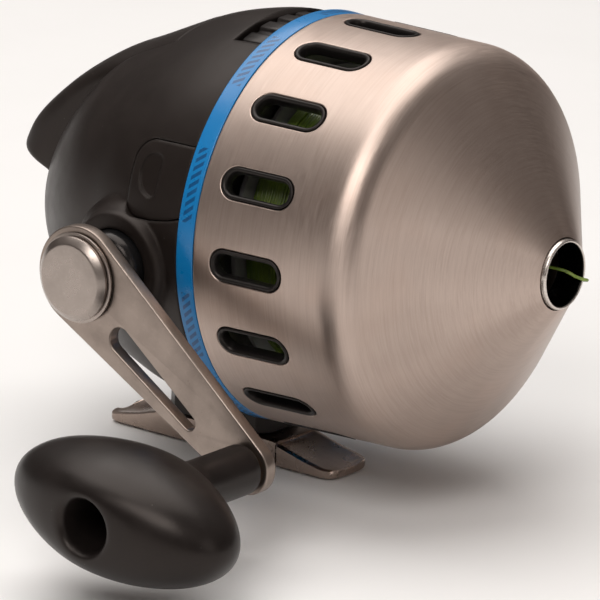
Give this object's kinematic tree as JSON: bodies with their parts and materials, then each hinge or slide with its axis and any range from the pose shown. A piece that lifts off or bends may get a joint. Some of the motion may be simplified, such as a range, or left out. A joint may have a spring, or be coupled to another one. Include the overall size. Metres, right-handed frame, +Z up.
{
  "type": "spincast fishing reel",
  "caption": "Closed-face fishing reel: slotted steel nose cover, dark housing with thumb button, side crank with oval knob, and a foot for a rod seat",
  "frame": {"origin": "centre of the foot's flat underside, where it sits on a rod", "axes": "nose and line exit towards -Y, crank handle on the -X side, +Z up away from the rod"},
  "size_m": [0.1296, 0.1177, 0.0851],
  "materials": {
    "brushed_steel": "brushed round the axis, warm grey",
    "bright_steel": "bright machined steel",
    "shell_plastic": "black-brown moulded, fine grain",
    "black_plastic": "black, satin",
    "knob_plastic": "black, satin gloss",
    "blue_plastic": "blue trim, satin",
    "spool_plastic": "grey moulded",
    "line_nylon": "yellow-green monofilament",
    "brass": "machined, lightly oiled",
    "die_cast_zinc": "die cast, matt",
    "fibre": "pressed fibre"
  },
  "bodies": {
    "housing": {"body_shell": "shell_plastic", "side_plug": "shell_plastic", "gear_deck": "die_cast_zinc", "deck_screw_1": "bright_steel", "deck_screw_2": "bright_steel", "deck_screw_3": "bright_steel", "front_cover": "brushed_steel", "cover_liner": "black_plastic", "trim_band": "blue_plastic", "nose_ring": "bright_steel", "reel_foot": "brushed_steel", "foot_stem": "black_plastic", "foot_screw_1": "bright_steel", "foot_screw_2": "bright_steel", "crank_bush": "black_plastic", "pinion_bush": "brass", "button_pin": "bright_steel", "pawl_pin": "bright_steel", "spool_clip": "bright_steel", "drag_washer": "fibre", "line_tail": "line_nylon"},
    "crank": {"crank_arm": "brushed_steel", "crank_cap": "bright_steel", "cap_washer": "bright_steel", "crank_shaft": "bright_steel", "drive_gear": "brass", "gear_screw": "bright_steel", "ratchet_wheel": "die_cast_zinc", "knob_spindle": "bright_steel"},
    "knob": {"knob_grip": "knob_plastic", "knob_bush": "brass"},
    "pinion": {"pinion_gear": "brass", "return_spring": "bright_steel"},
    "line_rotor": {"center_shaft": "bright_steel", "spinner_head": "bright_steel", "spinner_nut": "bright_steel", "shaft_clip": "bright_steel", "line_lead": "line_nylon"},
    "pickup": {"pickup_pin": "bright_steel"},
    "spool": {"spool": "spool_plastic", "spool_line": "line_nylon"},
    "drag_adjuster": {"drag_dial": "black_plastic"},
    "thumb_lever": {"thumb_button": "shell_plastic"},
    "pawl": {"anti_reverse_pawl": "bright_steel"}
  },
  "joints": [
    {"name": "crank_turn", "type": "hinge", "parent": "housing", "child": "crank", "pos_m": [0, -0.00235, 0.04264], "axis": [1, 0, 0], "continuous": true},
    {"name": "knob_spin", "type": "hinge", "parent": "crank", "child": "knob", "pos_m": [0, -0.0409, 0.0162], "axis": [1, 0, 0], "continuous": true},
    {"name": "pinion_spin", "type": "hinge", "parent": "housing", "child": "pinion", "pos_m": [0, -0.019, 0.047], "axis": [0, 1, 0], "continuous": true},
    {"name": "shaft_push", "type": "slide", "parent": "pinion", "child": "line_rotor", "axis": [0, -1, 0], "range_m": [0, 0.0041]},
    {"name": "pickup_retract", "type": "slide", "parent": "line_rotor", "child": "pickup", "axis": [0.866, 0, -0.5], "range_m": [0, 0.0017]},
    {"name": "spool_slip", "type": "hinge", "parent": "housing", "child": "spool", "pos_m": [0, -0.019, 0.047], "axis": [0, 1, 0], "continuous": true},
    {"name": "drag_dial_turn", "type": "hinge", "parent": "housing", "child": "drag_adjuster", "pos_m": [0, -0.019, 0.047], "axis": [0, 1, 0], "range_deg": [-135, 135]},
    {"name": "thumb_press", "type": "hinge", "parent": "housing", "child": "thumb_lever", "pos_m": [0, 0.008, 0.072], "axis": [-1, 0, 0], "range_deg": [0, 9], "stiffness_Nm_per_rad": 2, "springref_deg": -5.16},
    {"name": "pawl_lift", "type": "hinge", "parent": "housing", "child": "pawl", "pos_m": [0, 0.0102, 0.0504], "axis": [1, 0, 0], "range_deg": [0, 14]}
  ],
  "couplings": [
    {"joint": "pinion_spin", "follows": "crank_turn", "ratio": -2.6},
    {"joint": "shaft_push", "follows": "thumb_press", "m_per_rad": 0.025465},
    {"joint": "pickup_retract", "follows": "thumb_press", "m_per_rad": 0.010186}
  ]
}
